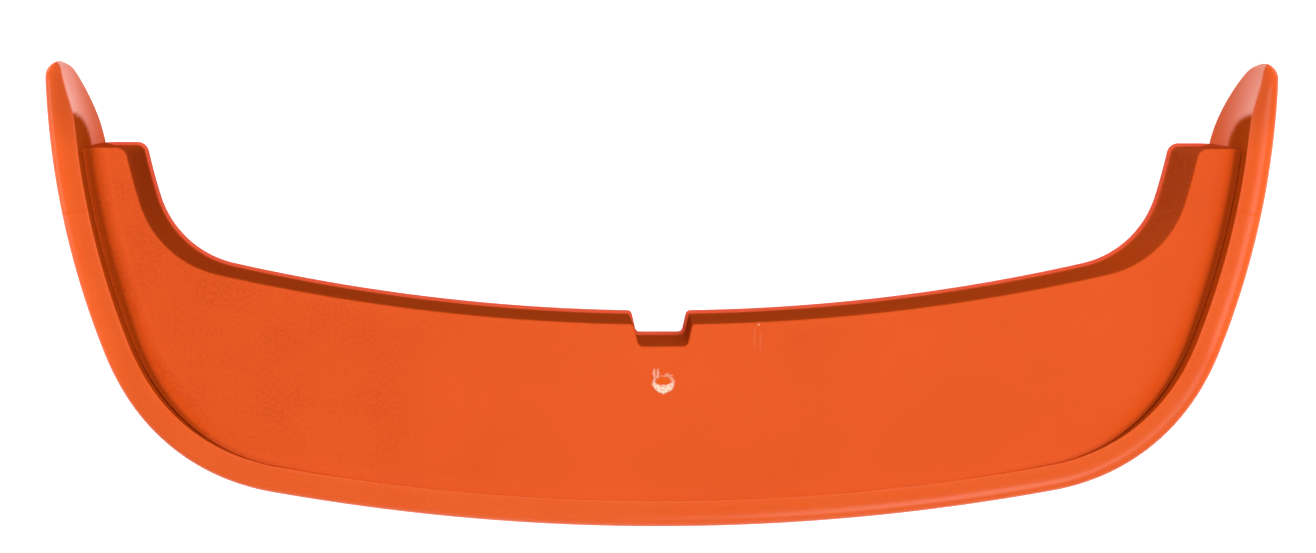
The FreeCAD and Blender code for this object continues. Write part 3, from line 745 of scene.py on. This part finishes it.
def paint_steel(feed):
    """Zinc-plated steel."""
    x, y, z, point = place()
    feed(Base_Color=mix(grain(point, 2 * MM), (0.62, 0.62, 0.64, 1), (0.45, 0.46, 0.49, 1)))
    feed(Metallic=1.0, Roughness=0.3 + grain(point, 0.8 * MM) * 0.2)
    feed(Normal=bump(grain(point, 0.4 * MM), 0.15, 0.05 * MM))


def paint_floor(feed):
    """Plain white sweep."""
    feed(Base_Color=(0.95, 0.95, 0.95, 1), Roughness=0.9, Specular_IOR_Level=0.0)
    feed(Emission_Color=(1, 1, 1, 1), Emission_Strength=0.65)


# ---------------------------------------------------------------- the object

def tray_tags(points):
    """Painted shade and crest highlight of the tray. The painted shade fills the gutter and trails off over
    the panel, further on the left arm, and the crest is a painted highlight, a brighter line along the far
    side of the left gutter where its edge catches light. Neither goes along the bottom of the U."""
    x, y, z = np.moveaxis(points, -1, 0)
    in_front = smooth(PANEL_TOP - 5 * MM, PANEL_TOP - 3 * MM, z)
    away = outer.depth(x, y) - RIM_WIDTH - SIDE_INSET * flank(y)
    spreading = np.where(x < 0, 1.15, 0.8) * (0.35 + 0.65 * smooth(DATUM + 30 * MM, DATUM + 95 * MM, y))
    fade = np.interp(away / spreading, GUTTER_SHADE_AWAY, GUTTER_SHADE_DEPTH)
    crest = np.exp(-((away - GUTTER_WIDTH) / (0.9 * MM)) ** 2) * smooth(0, -0.1, x)
    return {"gutter": fade * smooth(DATUM + 14 * MM, DATUM + 50 * MM, y) * in_front,
            "crest": crest * smooth(DATUM + 30 * MM, DATUM + 60 * MM, y) * in_front}


def rim_tags(points):
    """Painted shade, polish and darker ears of the rim. The painted shade lies on the low wall beside the
    gutter, and in an arch on the inner face of each ear beside the shoulder of the tray, where the coat
    is also left off. The front and outside of the ears are given a darker orange."""
    y, z = points[..., 1], points[..., 2]
    inside = np.zeros(points.shape[:2])
    inside[:, :INNER_RINGS] = 1
    rise = (y - SHOULDER) / (12 * MM)
    down = (BEAD_TOP - z) / (30 * MM)
    ear = smooth(SHOULDER - 1 * MM, SHOULDER, y)
    beside_gutter = (1 - ear) * smooth(DATUM + 14 * MM, DATUM + 34 * MM, y)
    # painted shade on the inner wall beside the gutter and in an arch on each ear's inner face
    painted_shade = inside * (0.85 * ear * smooth(1.12, 0.86, np.hypot(rise, down)) + beside_gutter)
    inner_polish = (0.08 + 0.72 * np.clip(z / BEAD_TOP, 0, 1) ** 2) * np.clip(1 - painted_shade / 0.6, 0, 1)
    outer_polish = 0.4 + 0.6 * smooth(BEAD_FLOOR + 1 * MM, BEAD_FLOOR + 5 * MM, z)
    # the front and outside of the ears, to be darkened
    darker_ears = (1 - inside) * smooth(SHOULDER - 4 * MM, SHOULDER + 16 * MM, y)
    return {"painted_shade": painted_shade, "polish": outer_polish * (1 - inside) + inner_polish * inside, "darker_ears": darker_ears}


def stiffener(points, name):
    """A boss or rib of the tray, in the tray's own plastic."""
    piece = grid_piece(name, points)
    piece.data.materials.append(tray.data.materials[0])


tray_grid = capped(tray_points())
tray = grid_piece("front_tray_skin", tray_grid, "front_tray", tray_tags(tray_grid))
tray.data.materials.append(material("textured_orange", paint_tray))
rim_grid = capped(rim_points())
rim = grid_piece("bumper_rim_skin", rim_grid, "bumper_rim", rim_tags(rim_grid))
rim.data.materials.append(material("satin_orange", paint_rim))

for number, column in enumerate(BOSS_COLUMNS, 1):
    stiffener(boss_points(column), f"tray_boss_{number}")
    stiffener(rib_points(*rib_ends(column)), f"tray_rib_{number}")
for side, sign in (("left", -1), ("right", 1)):
    stiffener(rib_points(*arm_rib_ends(sign)), f"tray_rib_{side}_arm")

finishes = {"threaded_insert": material("turned_brass", paint_brass),
            "rim_screw": material("zinc_steel", paint_steel)}
for name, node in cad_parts.items():
    for start, finish in finishes.items():
        if name.startswith(start):
            node.data.materials.clear()
            node.data.materials.append(finish)


# ---------------------------------------------------------------- the studio

BACKDROP = 0.82


def make_floor():
    """A wide flat floor."""
    half = 6.0
    corners = np.array([[-half, -half, 0], [half, -half, 0], [half, half, 0], [-half, half, 0]])
    mesh = bpy.data.meshes.new("floor")
    mesh.from_pydata(corners.tolist(), [], [(0, 1, 2, 3)])
    floor = bpy.data.objects.new("floor", mesh)
    floor.data.materials.append(material("floor_white", paint_floor))
    floor.visible_diffuse = False
    bpy.context.scene.collection.objects.link(floor)


def aim(thing, place_at, target, roll=0.0):
    """Puts a thing somewhere and points its -Z at a target, with its +Y as near world +Y as it can."""
    from mathutils import Matrix, Vector
    back = (Vector(place_at) - Vector(target)).normalized()
    up = Vector((-math.sin(roll), math.cos(roll), 0))
    right = up.cross(back).normalized()
    up = back.cross(right)
    turn = Matrix((right, up, back)).transposed().to_4x4()
    thing.matrix_world = Matrix.Translation(Vector(place_at)) @ turn


def make_camera():
    """Nearly straight down on the front face, from about a metre."""
    data = bpy.data.cameras.new("camera")
    data.sensor_width = 36.0
    data.lens = 82.07
    camera = bpy.data.objects.new("camera", data)
    bpy.context.scene.collection.objects.link(camera)
    aim(camera, (-32.7 * MM, 88.9 * MM, PANEL_TOP + 1047 * MM), (-2.35 * MM, 6.35 * MM, PANEL_TOP), 0.0023)
    bpy.context.scene.camera = camera


def make_light(name, spot, target, size, power, glossy=True, only=None):
    """A soft square light, which may stay out of reflections or light one piece only."""
    data = bpy.data.lights.new(name, "AREA")
    data.size = size
    data.energy = power
    lamp = bpy.data.objects.new(name, data)
    lamp.visible_glossy = glossy
    bpy.context.scene.collection.objects.link(lamp)
    aim(lamp, spot, target)
    if only:
        lit = bpy.data.collections.new(name + "_lit")
        lit.objects.link(only)
        lamp.light_linking.receiver_collection = lit


def make_world(strength):
    """Even white light from above the floor and none from below it, against a pale backdrop."""
    world = bpy.data.worlds.new("studio")
    world.use_nodes = True
    Wire.tree = world.node_tree
    way = Wire.node("ShaderNodeTexCoord", output=0)
    height = Wire.node("ShaderNodeSeparateXYZ", None, {0: way}, output=2)
    background = world.node_tree.nodes["Background"]
    background.inputs["Color"].default_value = (1, 1, 1, 1)
    seen = Wire.node("ShaderNodeLightPath")
    level = height.rise(-0.03, 0.03) * strength * (1 - seen) + seen * BACKDROP
    world.node_tree.links.new(level.socket, background.inputs["Strength"])
    bpy.context.scene.world = world


make_floor()
make_camera()
make_world(0.40)
make_light("overhead", (0.1, 0.25, 2.0), (0, 0, 0), 0.9, 27.5, glossy=False)
make_light("panel_key", (0.3, 0.2, 2.0), (0, 0, 0), 0.9, 2.8, glossy=False, only=tray)
make_light("key_right", (1.45, -0.35, 1.6), (0, 0, 0), 0.6, 5, only=rim)
make_light("key_corner", (1.2, -1.1, 1.6), (0, 0, 0), 0.6, 3.5, only=rim)
make_light("key_low", (0.5, -1.4, 1.6), (0, 0, 0), 0.6, 6)
make_light("left_edge", (-1.5, -0.1, 0.5), (-0.2, 0, 0.05), 0.5, 2.6, only=rim)
make_light("front_fill", (0, -1.7, 0.2), (0, 0, 0.03), 0.9, 15, glossy=False, only=rim)
make_light("left_ear_fill", (0.9, 0.5, 0.06), (-0.2, 0.06, 0.03), 0.25, 14, glossy=False, only=rim)
make_light("right_ear_fill", (-0.9, 0.5, 0.06), (0.2, 0.06, 0.03), 0.25, 14, glossy=False, only=rim)
make_light("mouth_fill", (0, 1.3, 0.06), (0, 0, 0.03), 0.4, 4.6, glossy=False, only=tray)
make_light("arm_fill", (-1.2, 0.35, 0.08), (0.19, 0.03, 0.03), 0.25, 5.0, glossy=False, only=tray)
bpy.context.scene.view_settings.view_transform = "Standard"
